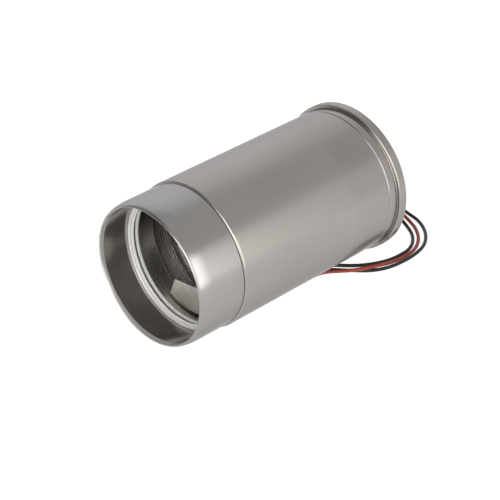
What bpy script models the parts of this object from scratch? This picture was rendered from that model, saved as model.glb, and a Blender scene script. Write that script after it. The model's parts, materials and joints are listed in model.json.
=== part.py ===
"""Stainless steel ultraviolet lamp canister, lying on its side with its mouth towards -Y.

Sizes are in millimetres and are scaled to metres when meshes are made. A place along the canister
is given as its distance behind the edge of the mouth's bore, and every turned piece shares one axis.
The axis leans forward slightly, because the rear flange is larger than the tube.
"""

import math

import bmesh
import bpy
from mathutils import Matrix, Vector

MM = 0.001
SIDES = 40
GAP = 0.3
BOTH_SIDES = (("left", -1), ("right", 1))

# Outer shell
REAR_FACE = 136.8
TUBE_R = 38.17
TUBE_FRONT = 25.0
TUBE_REAR = 125.4
TUBE_EDGE = 0.5
BORE_R = 35.9
COLLAR_R = 37.27
MOUTH_R = 34.9
LIP_NOSE = -2.35
LIP_R = 35.25
LIP_LENGTH = 8.2
FLANGE_R = 39.92
FLANGE_FRONT = 131.4
BEAD_FRONT_ROUND = 0.5
BEAD_REAR_ROUND = 1.0

# Thread that takes the collar in front and the lock ring behind it
THREAD_START = 27.6
THREAD_PITCH = 1.5
THREAD_TURNS = 14
THREAD_CREST_R = 35.0
THREAD_ROOT_R = 35.6
THREAD_END = THREAD_START + THREAD_PITCH * THREAD_TURNS

# Front collar and the window stack inside it
SEAM = TUBE_FRONT - GAP
SPIGOT_R = 34.6
SPIGOT_END = 31.0
THROAT_R = 33.1
CLIP_FRONT = 15.4
CLIP_THICK = 1.0
CLIP_STEP = 0.2
GASKET_THICK = 0.6
WINDOW_THICK = 2.2
POCKET_R = 34.5
CLIP_GROOVE_R = 35.6
WINDOW_R = POCKET_R - GAP
FRONT_GASKET = CLIP_FRONT + CLIP_THICK + GAP
WINDOW_FRONT = FRONT_GASKET + GASKET_THICK + GAP
REAR_GASKET = WINDOW_FRONT + WINDOW_THICK + GAP
WINDOW_SHOULDER = REAR_GASKET + GASKET_THICK + GAP

# Seals
SEAL_SECTION_R = 0.65
SEAL_SECTION_SIDES = 6
COLLAR_SEAL_R = 35.6
COLLAR_SEAL_AT = 26.15
SEAL_RECESS_R = 36.6
SEAL_RECESS_END = 27.3
REAR_SEAL_R = 34.9
REAR_SEAL_AT = 119.2
REAR_GROOVE_R = 33.9
REAR_GROOVE_HALF = 1.2

# Lamp support behind the window
LOCK_RING_FRONT = 42.0
LOCK_RING_LENGTH = 5.0
LOCK_RING_R = 34.7
LOCK_RING_BORE_R = 30.5
NOTCH_WIDTH = 4.0
NOTCH_DEPTH = 2.0
WASHER_FRONT = LOCK_RING_FRONT + LOCK_RING_LENGTH + GAP
WASHER_THICK = 0.8
WASHER_R = 34.4
WASHER_BORE_R = 30.8
DIAPHRAGM_FRONT = 48.9
DIAPHRAGM_THICK = 1.2
DIAPHRAGM_R = 34.6
DIAPHRAGM_HOLE_R = 15.5
STOP_FRONT = DIAPHRAGM_FRONT + DIAPHRAGM_THICK + GAP
STOP_THICK = 1.2
STOP_R = 36.5
STOP_BORE_R = 32.8
STOP_GROOVE_R = 36.9
CUSHION_BORE_R = 13.4
CUSHION_FLANGE_R = 17.5
CUSHION_FLANGE = 1.3

# Bent sheet guard whose front tab shows through the window
SHEET = 1.0
GUARD_ROLL = math.radians(6.1)
TAB_FRONT = 25.0
TAB_TOP = -17.1
TAB_TOP_HALF = 13.5
TAB_FOOT = -26.1
TAB_FOOT_HALF = 18.35
TAB_ROUND_STEPS = 6
STRIP_HALF = 8.0
STRIP_BOTTOM = -28.5
FOOT_TOP = -19.0
RIVET_R = 1.0
RIVET_HEAD_R = 1.7
RIVET_HEAD = 0.7
RIVET_X = 5.0
RIVET_Z = -23.5
HOLE_PLAY = 0.3

# Lamp
LAMP_TUBE_R = 5.0
LAMP_LEG_X = 6.5
LAMP_BEND_AT = 48.5
LAMP_CAP_FRONT = 90.3
LAMP_CAP_REAR = 104.0
LAMP_CAP_HALF = (15.0, 8.5)
PIN_R = 1.2
PIN_X = 9.0
PIN_LENGTH = 8.7

# Lampholder and what carries it
SOCKET_FRONT = 104.6
SOCKET_REAR = 117.0
SOCKET_HALF = (16.0, 9.5)
CONTACT_R = 1.9
CONTACT_BORE_R = 1.5
CONTACT_FRONT = 105.2
CONTACT_REAR = 114.6
BRACKET_FRONT = SOCKET_REAR + GAP
BRACKET_THICK = 1.2
BRACKET_REAR = BRACKET_FRONT + BRACKET_THICK
BRACKET_HALF = (27.0, 12.0)
WIRE_SLOT = (8.0, -9.0, -3.0)
SOCKET_SCREW_X = 12.5
SOCKET_SCREW_TIP = 111.0
STANDOFF_X = 23.0
STANDOFF_R = 3.0
SCREW_R = 1.2
SCREW_HOLE_R = SCREW_R + HOLE_PLAY
SCREW_HEAD_R = 2.4
SCREW_HEAD = 1.3
CUTOUT_Z = 2.6
CUTOUT_R = 4.8
CUTOUT_LENGTH = 4.0

# Rear cap
SPIGOT_FRONT = 113.6
CAP_SPIGOT_R = 35.6
CAP_BORE_R = 32.6
CAP_CHAMFER = 0.4
NECK_ROUND = 0.4
WALL_FRONT = 129.6
WALL_REAR = 133.1
RECESS_R = 34.0
CAP_SCREW_TIP = 125.0
BRACKET_SCREW_TIP = 122.0
BOND_X = 4.0
BOND_Z = -21.0
BOND_TAG_R = 4.0
BOND_TAG_THICK = 0.8
BOND_TONGUE = (1.5, -14.0)
BOND_DEPTH = 2.4

# Leads and the grommet they leave by
GROMMET_HOLE_R = 7.0
GROMMET_FLANGE_R = 9.0
GROMMET_FRONT = 127.5
GROMMET_END = 141.0
GROMMET_END_R = 5.6
LEAD_D = 1.9
LEAD_RING_R = 2.6
LEAD_ANGLES = {"red": 90.0, "outer": 210.0, "inner": 330.0}
LEAD_DEPTH = 2.0
LEAD_POINT_STEP = 2.6 * LEAD_D
TINNED_R = 0.5
TINNED_LENGTH = 6.0

# The axis leans so that the flange and the front edge of the tube both rest on the ground
FLAT = math.cos(math.pi / SIDES)
REST_REAR = FLANGE_FRONT + BEAD_FRONT_ROUND
REST_FRONT = TUBE_FRONT + TUBE_EDGE
LEAN = math.atan((FLANGE_R - TUBE_R) * FLAT / (REST_REAR - REST_FRONT))
END_RADII = FLANGE_R - BEAD_REAR_ROUND - LIP_R
MIDDLE = (REAR_FACE + LIP_NOSE + END_RADII * FLAT * math.tan(LEAN)) / 2
AXIS_HEIGHT = FLANGE_R * FLAT * math.cos(LEAN) - (REST_REAR - MIDDLE) * math.sin(LEAN)

# Routes of the free leads on the ground, from behind the boot to their ends under the tube
ROUTE_OUTER = [
    (-2.4, 81.9, 38.3), (-2.9, 89.2, 34.6), (-4.3, 96.3, 27.0), (-5.3, 102.2, 18.2),
    (-4.7, 107.2, 10.4), (-1.6, 110.6, 4.9), (2.8, 112.3, 2.4), (7.4, 112.6, 1.2), (12.3, 111.6, 1.0),
    (18.1, 108.9, 1.0), (24, 104.7, 1.0), (29, 99.4, 1.0), (32.8, 93.1, 1.0), (34.9, 85.9, 1.0),
    (35.7, 78.9, 1.0), (35.6, 72, 1.0), (34.8, 65.4, 1.0), (33, 59.8, 1.0), (30.2, 55.1, 1.0),
    (27.2, 51.7, 1.0), (24, 48.7, 1.0), (20.8, 45.7, 1.0), (17.5, 42.9, 1.0), (14.4, 39.9, 1.0),
    (12.1, 36.8, 1.0), (11.2, 33, 1.0), (11.1, 28.8, 1.0), (11, 24.7, 1.0),
]
ROUTE_RED = [
    (0.2, 81.9, 42.3), (0.1, 88.4, 39.1), (-0.8, 94.9, 31.0), (-1.4, 99.8, 21.7), (-0.2, 103.5, 12.6),
    (3.1, 106.2, 5.9), (7.5, 107.3, 2.7), (12.3, 106.6, 1.2), (18, 103.8, 1.0), (24.5, 98.6, 1.0),
    (29.2, 92.6, 1.0), (32, 86.5, 1.0), (33, 79.8, 1.0), (32.9, 73.1, 1.1), (32.5, 66, 1.8),
    (32, 59.1, 3.2), (30.2, 53.2, 3.5), (27.4, 48.5, 3.2), (24, 44.8, 2.6), (20, 41.6, 1.9),
    (16.5, 38.7, 1.3), (14.2, 35.2, 1.0), (13.4, 30.8, 1.0), (13.4, 26.2, 1.0), (13.4, 21.6, 1.0),
    (13.4, 17.7, 1.0),
]
ROUTE_INNER = [
    (2.4, 81.4, 38.3), (2.8, 87.3, 35.2), (2.6, 92.9, 27.6), (2.6, 97, 19.3), (3.7, 100.4, 11.4),
    (6.5, 102.5, 5.3), (10.3, 102.9, 2.2), (14.4, 101.7, 1.1), (19.8, 98.5, 1.0), (24.6, 94.1, 1.0),
    (28.1, 89, 1.0), (30.1, 83.5, 1.0), (30.5, 77, 1.0), (29.9, 70.3, 1.0), (28.2, 64.5, 1.0),
    (25.9, 59.5, 1.0), (23, 55, 1.0), (19.7, 51.1, 1.0), (16.3, 47.9, 1.0), (13.1, 45, 1.0),
    (10.5, 41.8, 1.0), (9.3, 38.2, 1.0), (8.9, 34.5, 1.0), (8.8, 31, 1.0),
]


def remove_everything():
    for scene_object in list(bpy.data.objects):
        bpy.data.objects.remove(scene_object, do_unlink=True)


def material(name, colour, roughness, metallic=0.0):
    finish = bpy.data.materials.new(name)
    finish.use_nodes = True
    shader = finish.node_tree.nodes["Principled BSDF"]
    shader.inputs["Base Color"].default_value = (*colour, 1.0)
    shader.inputs["Roughness"].default_value = roughness
    shader.inputs["Metallic"].default_value = metallic
    return finish


def lean_axis():
    """The empty that every rigid piece hangs on: it lies on the canister's axis, at mid length."""
    axis = bpy.data.objects.new("canister_axis", None)
    axis.location = (0.0, 0.0, AXIS_HEIGHT * MM)
    axis.rotation_euler = (LEAN, 0.0, 0.0)
    bpy.context.scene.collection.objects.link(axis)
    return axis


def local(x, along, z):
    """A point in the axis empty's own frame, in metres."""
    return Vector((x * MM, (along - MIDDLE) * MM, z * MM))


def world(x, along, z):
    """The same point where the leaning canister puts it."""
    lift = Matrix.Translation((0.0, 0.0, AXIS_HEIGHT * MM))
    return lift @ Matrix.Rotation(LEAN, 4, "X") @ local(x, along, z)


def arc(along, radius, size, start, end, steps=4, stretch=1.0):
    """Points of a rounded corner in a turned profile, from angle to angle in degrees.

    A stretch other than 1 lengthens the corner along the axis.
    """
    points = []
    for step in range(steps + 1):
        angle = math.radians(start + (end - start) * step / steps)
        points.append((along - stretch * size * math.cos(angle), radius + size * math.sin(angle)))
    return points


def turn(bm, profile, sides=SIDES, closed=True):
    """Spin a profile of (along, radius) points about the axis, with a flat facet underneath."""
    angle = math.pi / sides
    corners = []
    for along, radius in profile:
        corners.append(bm.verts.new(local(radius * math.cos(angle), along, radius * math.sin(angle))))
    edges = [bm.edges.new(pair) for pair in zip(corners, corners[1:])]
    if closed:
        edges.append(bm.edges.new((corners[-1], corners[0])))
    bmesh.ops.spin(
        bm, geom=corners + edges, axis=(0, 1, 0), cent=(0, 0, 0),
        angle=2 * math.pi, steps=sides, use_merge=True,
    )
    bmesh.ops.remove_doubles(bm, verts=bm.verts, dist=1e-7)


def rod(bm, start, end, radius, x=0.0, z=0.0, sides=16):
    """A round bar parallel to the axis."""
    place = Matrix.Translation(local(x, (start + end) / 2, z)) @ Matrix.Rotation(math.pi / 2, 4, "X")
    bmesh.ops.create_cone(
        bm, cap_ends=True, segments=sides, radius1=radius * MM, radius2=radius * MM,
        depth=(end - start) * MM, matrix=place,
    )


def slab(bm, outline, start, end, roll=0.0):
    """An outline of (x, z) points across the axis, drawn out along it and rolled about it."""
    turn_about = Matrix.Rotation(-roll, 4, "Y")
    face = bm.faces.new([bm.verts.new(turn_about @ local(x, start, z)) for x, z in outline])
    drawn = bmesh.ops.extrude_face_region(bm, geom=[face])
    moved = [item for item in drawn["geom"] if isinstance(item, bmesh.types.BMVert)]
    bmesh.ops.translate(bm, verts=moved, vec=(0.0, (end - start) * MM, 0.0))


def rectangle(half_x, low, high, centre=0.0):
    left = centre - half_x
    right = centre + half_x
    return [(left, low), (right, low), (right, high), (left, high)]


def add_object(name, bm, axis):
    bmesh.ops.recalc_face_normals(bm, faces=bm.faces)
    mesh = bpy.data.meshes.new(name)
    bm.to_mesh(mesh)
    bm.free()
    piece = bpy.data.objects.new(name, mesh)
    bpy.context.scene.collection.objects.link(piece)
    piece.parent = axis
    return piece


def add_piece(name, bm, finish, axis, bevel=0.0):
    piece = add_object(name, bm, axis)
    piece.data.materials.append(finish)
    piece.data.shade_smooth()
    piece.data.set_sharp_from_angle(angle=math.radians(30))
    if bevel:
        rounding = piece.modifiers.new("rounded_edges", "BEVEL")
        rounding.width = bevel * MM
        rounding.segments = 2
        rounding.limit_method = "ANGLE"
    return piece


def combine(piece, bm, operation, axis):
    """Cut a tool body out of a piece, or join it on."""
    tool = add_object(piece.name + "_" + operation.lower(), bm, axis)
    tool.hide_render = True
    tool.display_type = "WIRE"
    boolean = piece.modifiers.new(operation.lower(), "BOOLEAN")
    boolean.operation = operation
    boolean.solver = "EXACT"
    boolean.object = tool


def turned_piece(name, profile, finish, axis, closed=True):
    bm = bmesh.new()
    turn(bm, profile, closed=closed)
    return add_piece(name, bm, finish, axis)


def flat_ring(name, front, thick, inner, outer, finish, axis):
    profile = [(front, inner), (front, outer), (front + thick, outer), (front + thick, inner)]
    return turned_piece(name, profile, finish, axis)


def seal_ring(name, along, ring_radius, finish, axis):
    profile = []
    for corner in range(SEAL_SECTION_SIDES):
        angle = 2 * math.pi * (corner + 0.5) / SEAL_SECTION_SIDES
        outwards = SEAL_SECTION_R * math.sin(angle)
        profile.append((along + SEAL_SECTION_R * math.cos(angle), ring_radius + outwards))
    return turned_piece(name, profile, finish, axis)


def housing_tube(finish, axis):
    thread = []
    for turn_number in range(THREAD_TURNS):
        crest = THREAD_END - turn_number * THREAD_PITCH
        thread += [(crest, THREAD_CREST_R), (crest - THREAD_PITCH / 2, THREAD_ROOT_R)]
    groove_front = STOP_FRONT - GAP / 2
    groove_rear = STOP_FRONT + STOP_THICK + GAP / 2
    profile = [
        (TUBE_FRONT, TUBE_R - TUBE_EDGE), (TUBE_FRONT + TUBE_EDGE, TUBE_R),
        (TUBE_REAR - TUBE_EDGE, TUBE_R), (TUBE_REAR, TUBE_R - TUBE_EDGE), (TUBE_REAR, BORE_R),
        (groove_rear, BORE_R), (groove_rear, STOP_GROOVE_R), (groove_front, STOP_GROOVE_R),
        (groove_front, BORE_R), (THREAD_END + GAP, BORE_R),
    ]
    profile += thread
    profile += [
        (THREAD_START, THREAD_CREST_R), (SEAL_RECESS_END, SEAL_RECESS_R), (TUBE_FRONT, SEAL_RECESS_R),
    ]
    turned_piece("housing_tube", profile, finish, axis)


def front_collar(finish, axis):
    groove_rear = CLIP_FRONT + CLIP_THICK + GAP / 2
    inside = LIP_R - MOUTH_R
    outside = COLLAR_R - LIP_R
    profile = arc(0.0, LIP_R, inside, -90, 0, 2, -LIP_NOSE / inside)
    profile += arc(LIP_NOSE + LIP_LENGTH, LIP_R, outside, 0, 90, 6, LIP_LENGTH / outside)[1:]
    profile += [
        (SEAM - TUBE_EDGE, COLLAR_R), (SEAM, COLLAR_R - TUBE_EDGE), (SEAM, SPIGOT_R),
        (SPIGOT_END - TUBE_EDGE, SPIGOT_R), (SPIGOT_END, SPIGOT_R - TUBE_EDGE), (SPIGOT_END, THROAT_R),
        (WINDOW_SHOULDER, THROAT_R), (WINDOW_SHOULDER, POCKET_R), (groove_rear, POCKET_R),
        (groove_rear, CLIP_GROOVE_R), (CLIP_FRONT - GAP / 2, CLIP_GROOVE_R),
        (CLIP_FRONT - GAP / 2, MOUTH_R),
    ]
    turned_piece("front_collar", profile, finish, axis)


def window_stack(steel, silicone, quartz, axis):
    gasket_r = POCKET_R - GAP
    clip_r = CLIP_GROOVE_R - GAP
    clip_rear = CLIP_FRONT + CLIP_THICK
    clip = [
        (CLIP_FRONT, THROAT_R), (CLIP_FRONT, MOUTH_R - GAP), (CLIP_FRONT + CLIP_STEP, MOUTH_R - GAP),
        (CLIP_FRONT + CLIP_STEP, clip_r), (clip_rear, clip_r), (clip_rear, THROAT_R),
    ]
    turned_piece("window_clip", clip, steel, axis)
    flat_ring("window_front_gasket", FRONT_GASKET, GASKET_THICK, THROAT_R - GAP, gasket_r, silicone, axis)
    flat_ring("window_rear_gasket", REAR_GASKET, GASKET_THICK, THROAT_R - GAP, gasket_r, silicone, axis)
    rear = WINDOW_FRONT + WINDOW_THICK
    profile = [
        (WINDOW_FRONT, 0.0), (WINDOW_FRONT, WINDOW_R - GAP), (WINDOW_FRONT + GAP, WINDOW_R),
        (rear - GAP, WINDOW_R), (rear, WINDOW_R - GAP), (rear, 0.0),
    ]
    turned_piece("quartz_window", profile, quartz, axis, closed=False)


def lock_ring(finish, axis):
    ring = flat_ring(
        "lock_ring", LOCK_RING_FRONT, LOCK_RING_LENGTH, LOCK_RING_BORE_R, LOCK_RING_R, finish, axis,
    )
    notches = bmesh.new()
    outline = rectangle(LOCK_RING_R + 1.0, -NOTCH_WIDTH / 2, NOTCH_WIDTH / 2)
    slab(notches, outline, LOCK_RING_FRONT - 1.0, LOCK_RING_FRONT + NOTCH_DEPTH)
    combine(ring, notches, "DIFFERENCE", axis)


def lamp_support(steel, sheet_metal, silicone, axis):
    flat_ring("lock_washer", WASHER_FRONT, WASHER_THICK, WASHER_BORE_R, WASHER_R, steel, axis)
    flat_ring("carrier_stop_ring", STOP_FRONT, STOP_THICK, STOP_BORE_R, STOP_R, steel, axis)
    diaphragm = flat_ring(
        "lamp_diaphragm", DIAPHRAGM_FRONT, DIAPHRAGM_THICK, DIAPHRAGM_HOLE_R, DIAPHRAGM_R,
        sheet_metal, axis,
    )
    combine(diaphragm, rivet_holes(), "DIFFERENCE", axis)
    neck_r = DIAPHRAGM_HOLE_R - GAP
    front = DIAPHRAGM_FRONT - GAP
    rear = DIAPHRAGM_FRONT + DIAPHRAGM_THICK + GAP
    cushion = [
        (front - CUSHION_FLANGE, CUSHION_BORE_R), (front - CUSHION_FLANGE, CUSHION_FLANGE_R),
        (front, CUSHION_FLANGE_R), (front, neck_r), (rear, neck_r), (rear, CUSHION_FLANGE_R),
        (rear + CUSHION_FLANGE, CUSHION_FLANGE_R), (rear + CUSHION_FLANGE, CUSHION_BORE_R),
    ]
    turned_piece("lamp_cushion", cushion, silicone, axis)


def rivet_places():
    turn_about = Matrix.Rotation(GUARD_ROLL, 2)
    return [(name, turn_about @ Vector((side * RIVET_X, RIVET_Z))) for name, side in BOTH_SIDES]


def rivet_holes():
    holes = bmesh.new()
    for _, (x, z) in rivet_places():
        rod(holes, DIAPHRAGM_FRONT - 3.0, DIAPHRAGM_FRONT + 3.0, RIVET_R + HOLE_PLAY, x, z)
    return holes


def lamp_guard(sheet_metal, steel, axis):
    foot_rear = DIAPHRAGM_FRONT - GAP
    foot_angle = math.atan2(TAB_FOOT, TAB_FOOT_HALF)
    foot_r = math.hypot(TAB_FOOT, TAB_FOOT_HALF)
    tab = [(-TAB_TOP_HALF, TAB_TOP), (TAB_TOP_HALF, TAB_TOP)]
    for step in range(TAB_ROUND_STEPS + 1):
        angle = foot_angle + (-math.pi - 2 * foot_angle) * step / TAB_ROUND_STEPS
        tab.append((foot_r * math.cos(angle), foot_r * math.sin(angle)))
    body = bmesh.new()
    slab(body, tab, TAB_FRONT, TAB_FRONT + SHEET, GUARD_ROLL)
    guard = add_piece("lamp_guard", body, sheet_metal, axis)
    strip = bmesh.new()
    outline = rectangle(STRIP_HALF, STRIP_BOTTOM, STRIP_BOTTOM + SHEET)
    slab(strip, outline, TAB_FRONT + SHEET / 2, foot_rear, GUARD_ROLL)
    combine(guard, strip, "UNION", axis)
    foot = bmesh.new()
    outline = rectangle(STRIP_HALF, STRIP_BOTTOM + SHEET / 2, FOOT_TOP)
    slab(foot, outline, foot_rear - SHEET, foot_rear, GUARD_ROLL)
    combine(guard, foot, "UNION", axis)
    combine(guard, rivet_holes(), "DIFFERENCE", axis)
    head_front = foot_rear - SHEET - GAP
    head_rear = DIAPHRAGM_FRONT + DIAPHRAGM_THICK + GAP
    stations = (head_front - RIVET_HEAD, head_front, head_rear)
    for name, (x, z) in rivet_places():
        headed_bar("guard_rivet_" + name, stations, (RIVET_HEAD_R, RIVET_R), x, z, steel, axis)


def headed_bar(name, stations, radii, x, z, finish, axis, sides=12):
    """A screw or rivet: a round head between the first two stations and a shank to the third."""
    bm = bmesh.new()
    head_start, head_end, tip = stations
    head_r, shank_r = radii
    corners = []
    profile = [(head_start, head_r), (head_end, head_r), (head_end, shank_r), (tip, shank_r)]
    for along, radius in profile:
        ring = []
        for side in range(sides):
            angle = 2 * math.pi * side / sides
            across = radius * math.cos(angle)
            up = radius * math.sin(angle)
            ring.append(bm.verts.new(local(x + across, along, z + up)))
        corners.append(ring)
    for near, far in zip(corners, corners[1:]):
        for side in range(sides):
            following = (side + 1) % sides
            bm.faces.new((near[side], near[following], far[following], far[side]))
    bm.faces.new(corners[0])
    bm.faces.new(corners[-1])
    add_piece(name, bm, finish, axis)


def tube_curve(name, points, diameter, finish, parent=None, resolution=2):
    data = bpy.data.curves.new(name, "CURVE")
    data.dimensions = "3D"
    data.bevel_depth = diameter / 2 * MM
    data.bevel_resolution = resolution
    data.use_fill_caps = True
    spline = data.splines.new("POLY")
    spline.points.add(len(points) - 1)
    for target, point in zip(spline.points, points):
        target.co = (*point, 1.0)
    spline.use_smooth = True
    data.materials.append(finish)
    piece = bpy.data.objects.new(name, data)
    bpy.context.scene.collection.objects.link(piece)
    piece.parent = parent
    return piece


def lamp(glass, ceramic, brass, axis):
    bend_steps = 10
    path = [local(-LAMP_LEG_X, LAMP_CAP_FRONT - GAP, 0.0)]
    for step in range(bend_steps + 1):
        angle = math.pi * step / bend_steps
        forward = LAMP_LEG_X * math.sin(angle)
        path.append(local(-LAMP_LEG_X * math.cos(angle), LAMP_BEND_AT - forward, 0.0))
    path.append(local(LAMP_LEG_X, LAMP_CAP_FRONT - GAP, 0.0))
    tube_curve("lamp_tube", path, 2 * LAMP_TUBE_R, glass, axis, 3)
    cap = bmesh.new()
    half_x, half_z = LAMP_CAP_HALF
    slab(cap, rectangle(half_x, -half_z, half_z), LAMP_CAP_FRONT, LAMP_CAP_REAR)
    add_piece("lamp_cap", cap, ceramic, axis, bevel=1.2)
    start = LAMP_CAP_REAR + GAP
    for name, side in BOTH_SIDES:
        pin = bmesh.new()
        rod(pin, start, start + PIN_LENGTH, PIN_R, side * PIN_X, sides=12)
        add_piece("lamp_pin_" + name, pin, brass, axis)


def lampholder(ceramic, brass, axis):
    half_x, half_z = SOCKET_HALF
    body = bmesh.new()
    slab(body, rectangle(half_x, -half_z, half_z), SOCKET_FRONT, SOCKET_REAR)
    socket = add_piece("lamp_socket", body, ceramic, axis, bevel=1.0)
    ends = (CONTACT_FRONT, CONTACT_REAR)
    radii = (CONTACT_R, CONTACT_BORE_R)
    holes = bmesh.new()
    for name, side in BOTH_SIDES:
        rod(holes, SOCKET_FRONT - 1.0, CONTACT_REAR + GAP, CONTACT_R + HOLE_PLAY, side * PIN_X)
        rod(holes, SOCKET_SCREW_TIP - 1.0, SOCKET_REAR + 1.0, SCREW_HOLE_R, side * SOCKET_SCREW_X)
        sleeve("socket_contact_" + name, ends, radii, side * PIN_X, brass, axis)
    combine(socket, holes, "DIFFERENCE", axis)


def sleeve(name, ends, radii, x, finish, axis, sides=12):
    """A round tube parallel to the axis."""
    front, rear = ends
    outer, inner = radii
    wall = bmesh.new()
    rod(wall, front, rear, outer, x, sides=sides)
    bore = bmesh.new()
    rod(bore, front - 1.0, rear + 1.0, inner, x, sides=sides)
    combine(add_piece(name, wall, finish, axis), bore, "DIFFERENCE", axis)


def socket_carrier(ceramic, brass, steel, sheet_metal, axis):
    half_x, half_z = BRACKET_HALF
    plate = bmesh.new()
    slab(plate, rectangle(half_x, -half_z, half_z), BRACKET_FRONT, BRACKET_REAR)
    bracket = add_piece("socket_bracket", plate, sheet_metal, axis)
    openings = bmesh.new()
    slot_half, slot_low, slot_high = WIRE_SLOT
    slab(openings, rectangle(slot_half, slot_low, slot_high), BRACKET_FRONT - 1.0, BRACKET_REAR + 1.0)
    for place in (-STANDOFF_X, -SOCKET_SCREW_X, SOCKET_SCREW_X, STANDOFF_X):
        rod(openings, BRACKET_FRONT - 1.0, BRACKET_REAR + 1.0, SCREW_HOLE_R, place)
    combine(bracket, openings, "DIFFERENCE", axis)

    radii = (SCREW_HEAD_R, SCREW_R)
    head_rear = BRACKET_REAR + GAP
    head_front = BRACKET_FRONT - GAP
    cap_head = WALL_REAR + GAP
    post_ends = (BRACKET_REAR + GAP, WALL_FRONT - GAP)
    post_radii = (STANDOFF_R, SCREW_HOLE_R)
    for name, side in BOTH_SIDES:
        stations = (head_rear + SCREW_HEAD, head_rear, SOCKET_SCREW_TIP)
        headed_bar("socket_screw_" + name, stations, radii, side * SOCKET_SCREW_X, 0.0, steel, axis)
        stations = (head_front - SCREW_HEAD, head_front, BRACKET_SCREW_TIP)
        headed_bar("bracket_screw_" + name, stations, radii, side * STANDOFF_X, 0.0, steel, axis)
        stations = (cap_head + SCREW_HEAD, cap_head, CAP_SCREW_TIP)
        headed_bar("cap_screw_" + name, stations, radii, side * STANDOFF_X, 0.0, steel, axis)
        sleeve("bracket_standoff_" + name, post_ends, post_radii, side * STANDOFF_X, brass, axis)

    cutout = bmesh.new()
    start = BRACKET_REAR + GAP
    rod(cutout, start, start + CUTOUT_LENGTH, CUTOUT_R, 0.0, CUTOUT_Z, 20)
    add_piece("thermal_cutout", cutout, ceramic, axis, bevel=0.5)


def rear_cap(finish, steel, brass, axis):
    groove_front = REAR_SEAL_AT - REAR_GROOVE_HALF
    groove_rear = REAR_SEAL_AT + REAR_GROOVE_HALF
    neck = TUBE_REAR + GAP
    profile = [
        (SPIGOT_FRONT, CAP_BORE_R), (SPIGOT_FRONT, CAP_SPIGOT_R - CAP_CHAMFER),
        (SPIGOT_FRONT + CAP_CHAMFER, CAP_SPIGOT_R), (groove_front, CAP_SPIGOT_R),
        (groove_front, REAR_GROOVE_R), (groove_rear, REAR_GROOVE_R), (groove_rear, CAP_SPIGOT_R),
        (neck, CAP_SPIGOT_R), (neck, TUBE_R - CAP_CHAMFER), (neck + CAP_CHAMFER, TUBE_R),
        (FLANGE_FRONT - NECK_ROUND, TUBE_R), (FLANGE_FRONT, TUBE_R + NECK_ROUND),
    ]
    front = BEAD_FRONT_ROUND
    rear = BEAD_REAR_ROUND
    profile += arc(FLANGE_FRONT + front, FLANGE_R - front, front, 0, 90, 3)
    profile += arc(REAR_FACE - rear, FLANGE_R - rear, rear, 90, 180, 3)
    profile += [
        (REAR_FACE, RECESS_R + CAP_CHAMFER), (REAR_FACE - CAP_CHAMFER, RECESS_R), (WALL_REAR, RECESS_R),
        (WALL_REAR, GROMMET_HOLE_R), (WALL_FRONT, GROMMET_HOLE_R), (WALL_FRONT, CAP_BORE_R),
    ]
    cap = turned_piece("rear_cap", profile, finish, axis)
    holes = bmesh.new()
    for side in (-1, 1):
        rod(holes, WALL_FRONT - 1.0, WALL_REAR + 1.0, SCREW_HOLE_R, side * STANDOFF_X)
    rod(holes, WALL_FRONT - 1.0, WALL_FRONT + BOND_DEPTH, SCREW_HOLE_R, BOND_X, BOND_Z)
    combine(cap, holes, "DIFFERENCE", axis)

    tag_rear = WALL_FRONT - GAP
    tag_front = tag_rear - BOND_TAG_THICK
    tongue_half, tongue_top = BOND_TONGUE
    tag_body = bmesh.new()
    rod(tag_body, tag_front, tag_rear, BOND_TAG_R, BOND_X, BOND_Z, 20)
    tag = add_piece("bond_tag", tag_body, brass, axis)
    tongue = bmesh.new()
    slab(tongue, rectangle(tongue_half, BOND_Z, tongue_top, BOND_X), tag_front, tag_rear)
    combine(tag, tongue, "UNION", axis)
    tag_hole = bmesh.new()
    rod(tag_hole, tag_front - 1.0, tag_rear + 1.0, SCREW_HOLE_R, BOND_X, BOND_Z)
    combine(tag, tag_hole, "DIFFERENCE", axis)
    head_rear = tag_front - GAP
    stations = (head_rear - SCREW_HEAD, head_rear, WALL_FRONT + BOND_DEPTH - GAP)
    headed_bar("bond_screw", stations, (SCREW_HEAD_R, SCREW_R), BOND_X, BOND_Z, steel, axis)


def lead_hole(lead):
    """Where a lead crosses the grommet, seen along the axis."""
    angle = math.radians(LEAD_ANGLES[lead])
    return LEAD_RING_R * math.cos(angle), LEAD_RING_R * math.sin(angle)


def lead_grommet(rubber, axis):
    neck_r = GROMMET_HOLE_R - GAP
    front_flange = WALL_FRONT - GAP
    rear_flange = WALL_REAR + GAP
    shoulder = rear_flange + CUSHION_FLANGE
    profile = [
        (GROMMET_FRONT, 0.0), (GROMMET_FRONT, GROMMET_FLANGE_R), (front_flange, GROMMET_FLANGE_R),
        (front_flange, neck_r), (rear_flange, neck_r), (rear_flange, GROMMET_FLANGE_R),
        (shoulder, GROMMET_FLANGE_R), (shoulder, neck_r), (GROMMET_END, GROMMET_END_R),
        (GROMMET_END, 0.0),
    ]
    bm = bmesh.new()
    turn(bm, profile, sides=24, closed=False)
    grommet = add_piece("lead_grommet", bm, rubber, axis)
    holes = bmesh.new()
    for lead in LEAD_ANGLES:
        x, z = lead_hole(lead)
        rod(holes, GROMMET_END - LEAD_DEPTH - GAP, GROMMET_END + 1.0, LEAD_D / 2 + HOLE_PLAY, x, z, 12)
        rod(holes, GROMMET_FRONT - 1.0, GROMMET_FRONT + LEAD_DEPTH, LEAD_D / 2 + HOLE_PLAY, x, z, 12)
    combine(grommet, holes, "DIFFERENCE", axis)


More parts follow.
